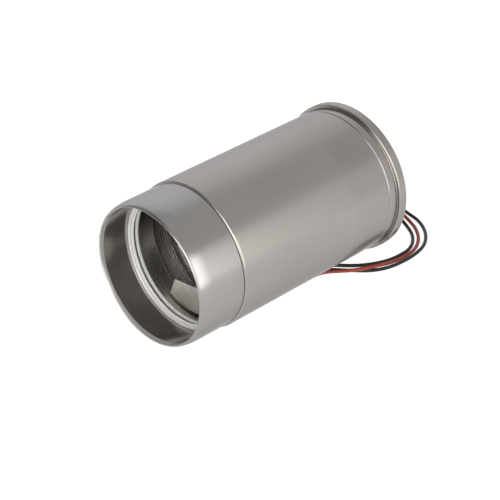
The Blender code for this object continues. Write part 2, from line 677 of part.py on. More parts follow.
def smooth_route(points, step):
    """Evenly spaced points on a smooth curve through the route's own points."""
    ends = [2 * points[0] - points[1]] + points + [2 * points[-1] - points[-2]]
    fine = []
    for before, start, end, after in zip(ends, ends[1:], ends[2:], ends[3:]):
        for part in range(12):
            t = part / 12
            bend = 2 * before - 5 * start + 4 * end - after
            twist = 3 * start - before - 3 * end + after
            fine.append(0.5 * (2 * start + (end - before) * t + bend * t ** 2 + twist * t ** 3))
    fine.append(points[-1])
    lengths = [0.0]
    for here, there in zip(fine, fine[1:]):
        lengths.append(lengths[-1] + (there - here).length)
    count = max(3, round(lengths[-1] / step))
    route = [fine[0]]
    for number in range(1, count):
        target = lengths[-1] * number / count
        index = next(i for i, length in enumerate(lengths) if length >= target)
        share = (target - lengths[index - 1]) / (lengths[index] - lengths[index - 1])
        route.append(fine[index - 1].lerp(fine[index], share))
    return route + [fine[-1]]


def free_leads(finishes, tin):
    routes = {"outer": ROUTE_OUTER, "red": ROUTE_RED, "inner": ROUTE_INNER}
    names = {"outer": "lead_black_outer", "red": "lead_red", "inner": "lead_black_inner"}
    for lead, route in routes.items():
        x, z = lead_hole(lead)
        exits = [world(x, GROMMET_END - LEAD_DEPTH, z), world(x, GROMMET_END + LEAD_D, z)]
        points = smooth_route(exits + [Vector(place) * MM for place in route], LEAD_POINT_STEP * MM)
        tube_curve(names[lead], points, LEAD_D, finishes[lead])
        forward = (points[-1] - points[-2]).normalized()
        centre = points[-1] + forward * (GAP + TINNED_LENGTH / 2) * MM
        place = Matrix.Translation(centre) @ forward.to_track_quat("Z", "Y").to_matrix().to_4x4()
        bare = bmesh.new()
        bmesh.ops.create_cone(
            bare, cap_ends=True, segments=8, radius1=TINNED_R * MM, radius2=TINNED_R * MM,
            depth=TINNED_LENGTH * MM, matrix=place,
        )
        add_piece("tinned_end_" + lead, bare, tin, None)


def inner_leads(red, black, axis):
    """Short wires between the grommet, the cut-out, the lampholder and the bond tag."""
    start = GROMMET_FRONT + LEAD_DEPTH - GAP
    front = GROMMET_FRONT - LEAD_D
    cutout_rear = BRACKET_REAR + GAP + CUTOUT_LENGTH + GAP
    tag_face = WALL_FRONT - GAP - BOND_TAG_THICK - GAP
    red_x, red_z = lead_hole("red")
    outer_x, outer_z = lead_hole("outer")
    inner_x, inner_z = lead_hole("inner")
    red_path = [(red_x, start, red_z), (red_x, front, red_z), (red_x, cutout_rear, CUTOUT_Z)]
    socket_path = [
        (outer_x, start, outer_z), (outer_x, front, outer_z), (-3.4, 121.5, -4.9),
        (-4.0, 119.0, -6.0), (-4.0, SOCKET_REAR + GAP, -6.0),
    ]
    bond_path = [
        (inner_x, start, inner_z), (inner_x, front, inner_z), (3.0, 124.3, -4.0),
        (3.7, 123.6, -9.0), (4.0, 124.6, -13.6), (4.0, 126.4, -15.2), (4.0, tag_face, -15.4),
    ]
    paths = {"inner_red_lead": red_path, "inner_socket_lead": socket_path, "inner_bond_lead": bond_path}
    for name, path in paths.items():
        points = smooth_route([local(*place) for place in path], LEAD_D * MM)
        tube_curve(name, points, LEAD_D, red if name == "inner_red_lead" else black, axis)


def main():
    remove_everything()
    satin_steel = material("satin_stainless", (0.52, 0.50, 0.47), 0.32, 1.0)
    bright_steel = material("bright_stainless", (0.70, 0.69, 0.67), 0.18, 1.0)
    sheet_metal = material("sheet_metal", (0.62, 0.59, 0.54), 0.45, 1.0)
    brass = material("plated_brass", (0.70, 0.55, 0.28), 0.30, 1.0)
    tin = material("tinned_copper", (0.72, 0.70, 0.66), 0.35, 1.0)
    silicone = material("pale_silicone", (0.86, 0.85, 0.82), 0.50)
    seal_rubber = material("seal_rubber", (0.03, 0.03, 0.03), 0.60)
    quartz = material("quartz", (0.92, 0.95, 0.96), 0.03)
    ceramic = material("ceramic", (0.88, 0.87, 0.83), 0.40)
    red_cover = material("red_lead_cover", (0.55, 0.07, 0.04), 0.40)
    black_cover = material("black_lead_cover", (0.02, 0.02, 0.022), 0.40)

    axis = lean_axis()
    housing_tube(satin_steel, axis)
    front_collar(satin_steel, axis)
    window_stack(bright_steel, silicone, quartz, axis)
    seal_ring("collar_oring", COLLAR_SEAL_AT, COLLAR_SEAL_R, seal_rubber, axis)
    lock_ring(bright_steel, axis)
    lamp_support(bright_steel, sheet_metal, silicone, axis)
    lamp_guard(sheet_metal, bright_steel, axis)
    lamp(quartz, ceramic, brass, axis)
    lampholder(ceramic, brass, axis)
    socket_carrier(ceramic, brass, bright_steel, sheet_metal, axis)
    rear_cap(satin_steel, bright_steel, brass, axis)
    seal_ring("rear_oring", REAR_SEAL_AT, REAR_SEAL_R, seal_rubber, axis)
    lead_grommet(seal_rubber, axis)
    inner_leads(red_cover, black_cover, axis)
    free_leads({"outer": black_cover, "red": red_cover, "inner": black_cover}, tin)


main()
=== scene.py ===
"""Looks of the stainless steel ultraviolet lamp canister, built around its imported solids.

Sizes are in millimetres. Turned pieces are made in the canister's own frame, whose Z runs back along
its axis from the edge of the mouth's bore. The collar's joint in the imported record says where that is.
"""

import json
import math

import bmesh
import bpy
from mathutils import Matrix, Vector

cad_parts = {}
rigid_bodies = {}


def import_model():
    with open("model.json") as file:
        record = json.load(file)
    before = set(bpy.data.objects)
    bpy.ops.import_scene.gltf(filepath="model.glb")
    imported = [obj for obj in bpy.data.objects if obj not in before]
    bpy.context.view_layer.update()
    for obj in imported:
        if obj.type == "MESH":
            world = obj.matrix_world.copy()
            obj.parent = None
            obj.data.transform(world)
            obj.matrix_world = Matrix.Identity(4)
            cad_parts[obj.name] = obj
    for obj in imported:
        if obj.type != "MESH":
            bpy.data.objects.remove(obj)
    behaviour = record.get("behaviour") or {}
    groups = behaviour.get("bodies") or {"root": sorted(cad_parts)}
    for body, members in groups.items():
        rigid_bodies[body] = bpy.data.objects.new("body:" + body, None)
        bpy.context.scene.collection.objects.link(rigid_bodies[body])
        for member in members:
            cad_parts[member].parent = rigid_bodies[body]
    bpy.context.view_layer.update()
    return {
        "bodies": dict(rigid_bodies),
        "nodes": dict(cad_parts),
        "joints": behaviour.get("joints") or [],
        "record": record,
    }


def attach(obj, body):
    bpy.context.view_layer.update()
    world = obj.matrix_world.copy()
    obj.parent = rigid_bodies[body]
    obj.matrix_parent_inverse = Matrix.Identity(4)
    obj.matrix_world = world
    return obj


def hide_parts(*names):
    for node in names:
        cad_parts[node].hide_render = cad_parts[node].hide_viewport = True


MM = 0.001
SIDES = 192
HINGE_ALONG = 15.0

# Outer shell
TUBE_FRONT = 25.0
TUBE_REAR = 125.6
TUBE_R = 38.04
TUBE_EDGE = 1.1
BAND_FROM = 101.6
BORE_R = 35.9
COLLAR_R = 37.15
MOUTH_R = 34.9
LIP_NOSE = -2.34
LIP_R = 35.5
LIP_LENGTH = 8.2
LIP_EDGE = 0.35
SEAM = 24.85
SPIGOT_R = 34.6
SPIGOT_END = 31.0
THROAT_R = 33.1
FLANGE_R = 39.79
FLANGE_FRONT = 131.4
BEAD_FRONT_ROUND = 0.8
BEAD_REAR_ROUND = 1.0
REAR_FACE = 136.8
NECK_FRONT = 125.7
NECK_EDGE = 0.9
RECESS_R = 34.0
WALL_FRONT = 129.6
WALL_REAR = 133.1
CAP_SPIGOT_FRONT = 113.6
CAP_SPIGOT_RADII = (32.6, 35.6)
CAP_GROOVE = (118.0, 120.4)
CAP_GROOVE_R = 33.9
FIT_GAP = 0.3

# Thread inside the tube
THREAD_START = 27.6
THREAD_PITCH = 1.5
THREAD_TURNS = 14
THREAD_ROOT_R = 35.6
THREAD_CREST_R = 35.0
THREAD_END = 48.9
TUBE_INSIDE_R = 36.0
SEAL_SEAT = 27.3
SEAL_SEAT_R = 36.6

# Window stack
CLIP_FRONT = 15.4
CLIP_REAR = 16.4
CLIP_R = 35.3
CLIP_STEP = 0.2
POCKET_R = 34.5
CLIP_GROOVE_R = 35.6
FRONT_GASKET = (16.45, 17.55)
WINDOW = (17.6, 19.8)
REAR_GASKET = (19.85, 20.95)
WINDOW_SHOULDER = 21.0
WINDOW_R = 34.2
GASKET_BORE_R = 32.8

# Lamp and what holds it
LOCK_RING = (42.0, 47.0)
LOCK_RING_RADII = (30.5, 34.7)
LOCK_NOTCH_R = 32.5
LOCK_NOTCH_HALF = 2.0
LOCK_WASHER = (47.3, 48.1)
LOCK_WASHER_RADII = (30.8, 34.4)
DIAPHRAGM = (48.9, 50.1)
DIAPHRAGM_R = 34.6
DIAPHRAGM_HOLE_R = 15.5
STOP_RING = (50.4, 51.6)
STOP_RING_RADII = (32.8, 36.5)
CUSHION_BORE_R = 13.4
CUSHION_FLANGE_R = 17.5
CUSHION_FLANGE = 1.3
LAMP_TUBE_R = 5.0
LAMP_WALL = 1.0
LAMP_LEG_X = 6.5
LAMP_BEND_AT = 48.5
LAMP_REAR = 90.0

# Rear fittings
CAP_SCREW_X = 23.0
CAP_SCREW_HEAD = (133.4, 134.7)
CAP_SCREW_HEAD_R = 2.4
CAP_SCREW_TIP = 125.0
CAP_SCREW_R = 1.2
BOOT_FRONT = 127.5
BOOT_HOLE_R = 7.0
BOOT_FLANGE_R = 9.0
BOOT_END = 141.0
BOOT_END_R = 5.6

# Leads, from behind the boot to their bare ends under the tube
LEAD_D = 1.9
LEAD_RING_R = 2.6
LEAD_DEPTH = 2.0
LEAD_POINT_STEP = 1.0
BARE_OVERLAP = 0.5
LEAD_ANGLES = {"red": 90.0, "outer": 210.0, "inner": 330.0}
ROUTE_OUTER = [
    (-2.4, 81.9, 38.3), (-2.9, 89.2, 34.6), (-4.3, 96.3, 27.0), (-5.3, 102.2, 18.2),
    (-4.7, 107.2, 10.4), (-1.6, 110.6, 4.9), (2.8, 112.24, 2.4), (7.4, 112.54, 1.2), (12.3, 111.6, 1.0),
    (18.1, 108.9, 1.0), (24, 104.7, 1.0), (29, 99.4, 1.0), (32.8, 93.1, 1.0), (34.9, 85.9, 1.0),
    (35.7, 78.9, 1.0), (35.6, 72, 1.0), (34.8, 65.4, 1.0), (33, 59.8, 1.0), (30.2, 55.1, 1.0),
    (27.2, 51.7, 1.0), (24, 48.7, 1.0), (20.8, 45.7, 1.0), (17.5, 42.9, 1.0), (14.4, 39.9, 1.0),
    (12.1, 36.8, 1.0), (11.2, 33, 1.0), (11.1, 28.8, 1.0), (11, 24.7, 1.0),
]
ROUTE_RED = [
    (0.2, 81.9, 42.3), (0.1, 88.4, 39.1), (-0.8, 94.9, 31.0), (-1.4, 99.8, 21.7), (-0.2, 103.5, 12.6),
    (3.1, 106.2, 5.9), (7.5, 107.3, 2.7), (12.3, 106.6, 1.2), (18, 103.8, 1.0), (24.5, 98.6, 1.0),
    (29.2, 92.6, 1.0), (32, 86.5, 1.0), (33, 79.8, 1.0), (32.9, 73.1, 1.1), (32.5, 66, 1.8),
    (32, 59.1, 3.2), (30.2, 53.2, 3.5), (27.4, 48.5, 3.2), (24, 44.8, 2.6), (20, 41.6, 1.9),
    (16.5, 38.7, 1.3), (14.2, 35.2, 1.0), (13.4, 30.8, 1.0), (13.4, 26.2, 1.0), (13.4, 21.6, 1.0),
    (13.4, 17.7, 1.0),
]
ROUTE_INNER = [
    (2.4, 81.4, 38.3), (2.8, 87.3, 35.2), (2.6, 92.9, 27.6), (2.6, 97, 19.3), (3.7, 100.4, 11.4),
    (6.5, 102.5, 5.3), (10.3, 102.9, 2.2), (14.4, 101.7, 1.1), (19.8, 98.5, 1.0), (24.6, 94.1, 1.0),
    (28.1, 89, 1.0), (30.1, 83.5, 1.0), (30.5, 77, 1.0), (29.9, 70.3, 1.0), (28.2, 64.5, 1.0),
    (25.9, 59.5, 1.0), (23, 55, 1.0), (19.7, 51.1, 1.0), (16.3, 47.9, 1.0), (13.1, 45, 1.0),
    (10.5, 41.8, 1.0), (9.3, 38.2, 1.0), (8.9, 34.5, 1.0), (8.8, 31, 1.0),
]

# Studio light
WALL_LEVEL = 1.0
ROOF_LEVEL = 0.72
WALL_GLOW = 2.2
FRONT_GLOW = 2.8
GLOW_REACH = 340.0
GLOW_TOP = 300.0
WALL_X = 420.0
WALL_Y = (-300.0, 380.0)
WALL_TOP = 400.0
COOL_LIGHT = (0.98, 0.99, 1.02)
WARM_LIGHT = (1.0, 0.99, 0.975)

# Camera fitted to the photograph
CAMERA_PLACE = (536.81, -528.86, 474.28)
CAMERA_LOOK = (-0.612625, 0.600887, -0.513445)
CAMERA_LENS = 126.81
CAMERA_SENSOR = 36.0


def canister_frame(joint):
    """The matrix that puts the canister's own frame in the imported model's."""
    back = -Vector(joint["axis"]).normalized()
    right = Vector((1.0, 0.0, 0.0))
    down = back.cross(right)
    mouth = Vector(joint["pos_m"]) - back * HINGE_ALONG * MM
    turn = Matrix((right, down, back)).transposed().to_4x4()
    return Matrix.Translation(mouth) @ turn


class Graph:
    """A node tree and short ways to add to it."""

    def __init__(self, tree):
        self.tree = tree

    def add(self, kind, settings=None, inputs=None):
        made = self.tree.nodes.new(kind)
        for name, value in (settings or {}).items():
            setattr(made, name, value)
        for socket, value in (inputs or {}).items():
            if isinstance(value, bpy.types.NodeSocket):
                self.tree.links.new(value, made.inputs[socket])
            else:
                made.inputs[socket].default_value = value
        return made

    def ramp(self, value, start, end, low, high, shape="LINEAR"):
        """The value, held between start and end, carried over to low and high."""
        made = self.add(
            "ShaderNodeMapRange", {"interpolation_type": shape},
            {"Value": value, "From Min": start, "From Max": end, "To Min": low, "To Max": high},
        )
        return made.outputs["Result"]

    def spread(self, noise, low, high):
        """Noise, which mostly lies from 0.3 to 0.7, stretched from low to high."""
        return self.ramp(noise, 0.3, 0.7, low, high)

    def fade(self, value, start, end, low, high):
        return self.ramp(value, start, end, low, high, "SMOOTHSTEP")

    def tint(self, value, dark, light):
        sockets = {0: value, 6: (*dark, 1.0), 7: (*light, 1.0)}
        return self.add("ShaderNodeMix", {"data_type": "RGBA"}, sockets).outputs[2]

    def merge(self, operation, *values):
        total = values[0]
        for value in values[1:]:
            total = self.add("ShaderNodeMath", {"operation": operation}, {0: total, 1: value}).outputs[0]
        return total


class Finish(Graph):
    """A material in the making: a Principled shader and the nodes that feed it."""

    def __init__(self, name, colour, roughness, metallic=0.0, **sockets):
        self.material = bpy.data.materials.new(name)
        self.material.use_nodes = True
        super().__init__(self.material.node_tree)
        self.shader = self.tree.nodes["Principled BSDF"]
        self.shader.inputs["Base Color"].default_value = (*colour, 1.0)
        self.shader.inputs["Roughness"].default_value = roughness
        self.shader.inputs["Metallic"].default_value = metallic
        for socket, value in sockets.items():
            self.shader.inputs[socket.replace("_", " ")].default_value = value

    def feed(self, socket, value):
        self.tree.links.new(value, self.shader.inputs[socket])

    def place(self, frame, sizes):
        """Object coordinates along a frame's own axes, counted in waves of the given sizes."""
        coordinates = self.add("ShaderNodeTexCoord")
        mapped = self.add(
            "ShaderNodeMapping", {"vector_type": "TEXTURE"},
            {
                "Vector": coordinates.outputs["Object"], "Location": frame.to_translation(),
                "Rotation": frame.to_euler(), "Scale": Vector(sizes) * MM,
            },
        )
        return mapped.outputs["Vector"]

    def spot(self, frame):
        """Separate coordinates along a frame's own axes, in millimetres."""
        return self.add("ShaderNodeSeparateXYZ", None, {0: self.place(frame, (1, 1, 1))}).outputs

    def noise(self, frame, sizes, detail=3.0):
        made = self.add("ShaderNodeTexNoise", None, {"Vector": self.place(frame, sizes), "Detail": detail})
        made.inputs["Scale"].default_value = 1.0
        return made.outputs["Fac"]

    def bump(self, value, height):
        made = self.add("ShaderNodeBump", None, {"Height": value, "Distance": height * MM})
        self.feed("Normal", made.outputs["Normal"])


def shade(colour, factor):
    return [factor * part for part in colour]


def turned_steel(name, frame, colour, roughness, grain_depth, metallic=1.0, band_from=None):
    """Steel with a fine grain round the canister; behind band_from it is a little darker and smoother."""
    finish = Finish(name, colour, roughness, metallic, Specular_Tint=(0.6, 0.6, 0.6, 1.0))
    grain = finish.noise(frame, (60, 60, 0.25))
    cloud = finish.noise(frame, (24, 24, 40), 4.0)
    wear = finish.merge("ADD", finish.spread(cloud, -0.3, 0.3), finish.spread(grain, -0.03, 0.03))
    roughening = finish.merge("ADD", finish.spread(grain, -0.005, 0.005), finish.spread(cloud, 0.01, -0.01))
    if band_from:
        band = finish.fade(finish.spot(frame)["Z"], band_from - 0.5, band_from + 0.5, 0.0, 1.0)
        wear = finish.merge("ADD", wear, finish.ramp(band, 0.0, 1.0, 0.0, -0.25))
        roughening = finish.merge("ADD", roughening, finish.ramp(band, 0.0, 1.0, 0.0, -0.03))
    share = finish.ramp(wear, -1.0, 1.0, 0.0, 1.0)
    finish.feed("Base Color", finish.tint(share, shade(colour, 0.88), shade(colour, 1.12)))
    finish.feed("Roughness", finish.ramp(roughening, -0.1, 0.1, roughness - 0.1, roughness + 0.1))
    finish.bump(grain, grain_depth)
    return finish.material


def plain_metal(name, frame, colour, roughness, grain=0.3):
    finish = Finish(name, colour, roughness, 1.0)
    speckle = finish.noise(frame, (grain, grain, grain))
    tone = finish.tint(finish.spread(speckle, 0.0, 1.0), shade(colour, 0.9), shade(colour, 1.06))
    finish.feed("Base Color", tone)
    finish.feed("Roughness", finish.spread(speckle, roughness - 0.05, roughness + 0.05))
    finish.bump(speckle, 0.004)
    return finish.material


def rolled_sheet(name, frame, colour, roughness):
    """Sheet metal with short rolling marks across the canister and some stains."""
    finish = Finish(name, colour, roughness, 1.0)
    marks = finish.noise(frame, (4.0, 0.35, 0.35))
    stain = finish.noise(frame, (5.0, 5.0, 5.0), 4.0)
    wear = finish.merge("ADD", finish.spread(marks, -0.5, 0.5), finish.spread(stain, -0.5, 0.5))
    share = finish.ramp(wear, -1.0, 1.0, 0.0, 1.0)
    finish.feed("Base Color", finish.tint(share, shade(colour, 0.8), shade(colour, 1.15)))
    finish.feed("Roughness", finish.spread(marks, roughness - 0.08, roughness + 0.08))
    finish.bump(marks, 0.01)
    return finish.material


def soft_finish(name, frame, dark, light, roughness, grain, depth):
    """Rubber, plastic or ceramic: mottled colour and a fine matt grain."""
    finish = Finish(name, light, roughness, Specular_IOR_Level=0.3)
    mottle = finish.noise(frame, (grain, grain, grain))
    finish.feed("Base Color", finish.tint(finish.spread(mottle, 0.0, 1.0), dark, light))
    finish.feed("Roughness", finish.spread(mottle, roughness - 0.06, roughness + 0.06))
    finish.bump(mottle, depth)
    return finish.material


def clear_quartz(name, frame, ior, roughness):
    finish = Finish(name, (0.96, 0.98, 0.98), roughness, IOR=ior, Transmission_Weight=1.0)
    haze = finish.noise(frame, (5.0, 5.0, 5.0))
    finish.feed("Roughness", finish.spread(haze, roughness, roughness + 0.02))
    return finish.material


def make_finishes(frame):
    steel = (0.334, 0.313, 0.298)
    polished = (0.325, 0.313, 0.302)
    return {
        "tube_steel": turned_steel("tube_steel", frame, steel, 0.27, 0.00005, 1.0, BAND_FROM),
        "collar_steel": turned_steel("collar_steel", frame, polished, 0.22, 0.00005),
        # The lip's steel is a much lighter copy of the collar's: a painted glint on the inner half of the
        # lip.
        "lip_steel": turned_steel("lip_steel", frame, (0.74, 0.72, 0.70), 0.24, 0.0002, 0.75),
        "mouth_steel": turned_steel("mouth_steel", frame, (0.41, 0.38, 0.36), 0.2, 0.0002, 0.9),
        "throat_steel": turned_steel("throat_steel", frame, (0.45, 0.41, 0.38), 0.24, 0.0002),
        # The bore's steel is darkened far below the outside's: painted shade inside the tube and on the
        # thread's flanks.
        "bore_painted_shade_steel": turned_steel("bore_painted_shade_steel", frame, (0.045, 0.039, 0.035), 0.35, 0.0006),
        # The crests' lighter steel is a painted highlight along the thread.
        "crest_highlight_steel": turned_steel("crest_highlight_steel", frame, (0.62, 0.57, 0.52), 0.3, 0.0006),
        "ring_steel": turned_steel("ring_steel", frame, (0.82, 0.815, 0.80), 0.3, 0.0006, 0.35),
        "small_steel": plain_metal("small_steel", frame, (0.42, 0.40, 0.385), 0.26),
        "sheet": rolled_sheet("sheet_steel", frame, (0.34, 0.315, 0.29), 0.42),
        "guard_sheet": rolled_sheet("guard_sheet", frame, (0.66, 0.615, 0.57), 0.5),
        "brass": plain_metal("plated_brass", frame, (0.62, 0.47, 0.23), 0.3),
        "tin": plain_metal("tinned_copper", frame, (0.62, 0.60, 0.56), 0.35),
        "silicone": soft_finish(
            "pale_silicone", frame, (0.78, 0.77, 0.75), (0.9, 0.89, 0.87), 0.5, 0.6, 0.01,
        ),
        "rubber": soft_finish(
            "seal_rubber", frame, (0.012, 0.012, 0.012), (0.024, 0.023, 0.022), 0.6, 0.15, 0.01,
        ),
        "ceramic": soft_finish("ceramic", frame, (0.68, 0.66, 0.60), (0.80, 0.78, 0.73), 0.4, 0.3, 0.006),
        "red_cover": soft_finish(
            "red_cover", frame, (0.17, 0.021, 0.012), (0.23, 0.03, 0.016), 0.4, 1.0, 0.004,
        ),
        "black_cover": soft_finish(
            "black_cover", frame, (0.004, 0.004, 0.004), (0.008, 0.008, 0.008), 0.4, 1.0, 0.004,
        ),
        "window": clear_quartz("window_quartz", frame, 1.08, 0.0),
        "lamp": clear_quartz("lamp_quartz", frame, 1.4, 0.02),
    }


def rounded(profile, size=0.15, steps=3):
    """The profile with its sharp corners rounded, by less where a side is short.

    A point on either side of a corner keeps the smooth shading of the corner off the rest of the side.
    """
    points = []
    for index, corner in enumerate(profile):
        here = Vector(corner)
        before = Vector(profile[index - 1]) - here
        after = Vector(profile[(index + 1) % len(profile)]) - here
        if before.angle(-after) < math.radians(20):
            points.append(here)
            continue
        start = before.normalized() * min(size, before.length * 0.32)
        end = after.normalized() * min(size, after.length * 0.32)
        points.append(here + 1.4 * start)
        for step in range(steps + 1):
            share = step / steps
            points.append(here + (start * (1 - share)).lerp(end * share, share))
        points.append(here + 1.4 * end)
    return points


def arc(along, radius, size, start, end, steps=8, stretch=1.0):
    """Points of a rounded corner in a turned profile, from angle to angle in degrees.

    A stretch other than 1 lengthens the corner along the axis.
    """
    points = []
    for step in range(steps + 1):
        angle = math.radians(start + (end - start) * step / steps)
        points.append((along - stretch * size * math.cos(angle), radius + size * math.sin(angle)))
    return points


def box_profile(front, rear, inner, outer):
    return [(front, inner), (front, outer), (rear, outer), (rear, inner)]


def loft(bm, sections, ring):
    """Faces through sections of equal length: a closed ring of them, or a bar with flat ends."""
    rows = [[bm.verts.new(point) for point in section] for section in sections]
    pairs = list(zip(rows, rows[1:]))
    if ring:
        pairs.append((rows[-1], rows[0]))
    else:
        bm.faces.new(rows[0])
        bm.faces.new(rows[-1])
    for near, far in pairs:
        for index in range(len(near)):
            after = (index + 1) % len(near)
            bm.faces.new((near[index], near[after], far[after], far[index]))


def around(profile, angle):
    """A profile of (along, radius) points in the half plane at an angle round the axis, in metres."""
    cosine = math.cos(angle) * MM
    sine = math.sin(angle) * MM
    return [(radius * cosine, radius * sine, along * MM) for along, radius in profile]


def shaped(name, bm, frame, finishes, zone=None):
    """An object from a mesh made in a frame.

    With several finishes, zone says which one a face takes, from its middle's place along the axis and
    its distance from it.
    """
    bmesh.ops.remove_doubles(bm, verts=bm.verts, dist=1e-8)
    bmesh.ops.recalc_face_normals(bm, faces=bm.faces)
    if zone:
        for face in bm.faces:
            middle = face.calc_center_median() / MM
            face.material_index = zone(middle.z, middle.xy.length)
    bmesh.ops.transform(bm, matrix=frame, verts=bm.verts)
    mesh = bpy.data.meshes.new(name)
    bm.to_mesh(mesh)
    bm.free()
    mesh.shade_smooth()
    mesh.set_sharp_from_angle(angle=math.radians(35))
    for finish in finishes:
        mesh.materials.append(finish)
    piece = bpy.data.objects.new(name, mesh)
    bpy.context.scene.collection.objects.link(piece)
    return piece


def turned(name, profile, frame, finishes, zone=None, sides=SIDES):
    """A closed profile of (along, radius) points spun about a frame's Z axis."""
    bm = bmesh.new()
    loft(bm, [around(profile, 2 * math.pi * side / sides) for side in range(sides)], ring=True)
    return shaped(name, bm, frame, finishes, zone)


def stand_for(piece, body, slot, *nodes):
    """Say which body a piece rides on and which solids it replaces. The slot is not used."""
    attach(piece, body)
    if nodes:
        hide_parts(*nodes)


def thread_ridge(frame, finishes):
    """The tube's internal thread, one helical ridge that fades out at both ends. Its crests take a lighter
    steel, a painted highlight, and its flanks the bore's darkened steel.
    """
    per_turn = 96
    steps = THREAD_TURNS * per_turn
    half = THREAD_PITCH * 0.46
    sections = []
    for step in range(steps + 1):
        along = THREAD_START + THREAD_PITCH * step / per_turn
        fade = min(1.0, 2 * step / per_turn, 2 * (steps - step) / per_turn)
        crest = THREAD_ROOT_R + (THREAD_CREST_R - THREAD_ROOT_R) * fade
        root = THREAD_ROOT_R + 0.1
        profile = [(along - half, root), (along - 0.08, crest), (along + 0.08, crest), (along + half, root)]
        sections.append(around(profile, 2 * math.pi * step / per_turn))
    bm = bmesh.new()
    loft(bm, sections, ring=False)

    # Faces at the crest take the second finish, the painted highlight.
    def crest_highlight_zone(along, radius):
        return int(radius < THREAD_CREST_R + 0.1)

    return shaped("tube_thread", bm, frame, finishes, crest_highlight_zone)


def collar_zone(along, radius):
    """The collar's finishes, as numbers.

    They are 0 outside, 1 in the mouth's bore, 2 on the inner half of the lip, whose much lighter steel is a
    painted glint, and 3 behind the window.
    """
    if radius > LIP_R - LIP_EDGE / 2:
        return 0
    if along < 0.0:
        return 2
    return 3 if along > WINDOW_SHOULDER else 1


def tube_zone(along, radius):
    """The tube's finishes: 0 outside, 1 in its bore, which takes a steel darkened as painted shade."""
    return int(radius < TUBE_INSIDE_R)


def shell(frame, finishes):
    tube = arc(TUBE_FRONT + TUBE_EDGE, TUBE_R - TUBE_EDGE, TUBE_EDGE, 0, 90)
    tube += [
        (TUBE_FRONT + 1.5 * TUBE_EDGE, TUBE_R), (TUBE_REAR, TUBE_R), (TUBE_REAR, BORE_R),
        (THREAD_END, BORE_R), (THREAD_END, THREAD_ROOT_R), (SEAL_SEAT, THREAD_ROOT_R),
        (SEAL_SEAT, SEAL_SEAT_R), (TUBE_FRONT, SEAL_SEAT_R),
    ]
    steel = finishes["tube_steel"]
    # The tube's bore and the thread's flanks take the darkened steel, which is painted shade.
    bore = finishes["bore_painted_shade_steel"]
    piece = turned("tube_shell", rounded(tube, 0.2), frame, [steel, bore], tube_zone)
    stand_for(piece, "housing", "satin_stainless", "housing_tube")
    ridge = thread_ridge(frame, [bore, finishes["crest_highlight_steel"]])
    stand_for(ridge, "housing", "satin_stainless")

    outside = COLLAR_R - LIP_R
    groove = (CLIP_FRONT - 0.15, CLIP_REAR + 0.15)
    collar = [(0.2, MOUTH_R), (0.0, MOUTH_R), (-0.2, MOUTH_R + 0.05)]
    collar += arc(LIP_NOSE + LIP_EDGE, LIP_R, LIP_EDGE, -70, 0, 6)
    collar += arc(LIP_NOSE + LIP_LENGTH, LIP_R, outside, 0, 90, 24, LIP_LENGTH / outside)[1:]
    collar += [
        (LIP_NOSE + LIP_LENGTH + 0.3, COLLAR_R), (SEAM, COLLAR_R), (SEAM, SPIGOT_R),
        (SPIGOT_END, SPIGOT_R), (SPIGOT_END, THROAT_R), (WINDOW_SHOULDER, THROAT_R),
        (WINDOW_SHOULDER, POCKET_R), (groove[1], POCKET_R), (groove[1], CLIP_GROOVE_R),
        (groove[0], CLIP_GROOVE_R), (groove[0], MOUTH_R),
    ]
    # The lip's finish is the lighter steel that paints the lip's glint.
    collar_finishes = [finishes[part + "_steel"] for part in ("collar", "mouth", "lip", "throat")]
    piece = turned("collar_shell", rounded(collar, 0.15), frame, collar_finishes, collar_zone)
    stand_for(piece, "collar", "satin_stainless", "front_collar")

    inner, outer = CAP_SPIGOT_RADII
    seat, seat_end = CAP_GROOVE
    cap = [
        (CAP_SPIGOT_FRONT, inner), (CAP_SPIGOT_FRONT, outer), (seat, outer), (seat, CAP_GROOVE_R),
        (seat_end, CAP_GROOVE_R), (seat_end, outer), (NECK_FRONT, outer),
    ]
    cap += arc(NECK_FRONT + NECK_EDGE, TUBE_R - NECK_EDGE, NECK_EDGE, 0, 90)
    cap += [(NECK_FRONT + 1.5 * NECK_EDGE, TUBE_R), (FLANGE_FRONT, TUBE_R)]
    cap += arc(FLANGE_FRONT + BEAD_FRONT_ROUND, FLANGE_R - BEAD_FRONT_ROUND, BEAD_FRONT_ROUND, 0, 90)
    cap += [(FLANGE_FRONT + 1.5 * BEAD_FRONT_ROUND, FLANGE_R), (REAR_FACE - 1.3, FLANGE_R)]
    cap += arc(REAR_FACE - BEAD_REAR_ROUND, FLANGE_R - BEAD_REAR_ROUND, BEAD_REAR_ROUND, 90, 180)
    cap += [
        (REAR_FACE, RECESS_R), (WALL_REAR, RECESS_R), (WALL_REAR, BOOT_HOLE_R),
        (WALL_FRONT, BOOT_HOLE_R), (WALL_FRONT, inner),
    ]
    piece = turned("rear_cap_shell", rounded(cap, 0.4), frame, [steel])
    stand_for(piece, "housing", "satin_stainless", "rear_cap")


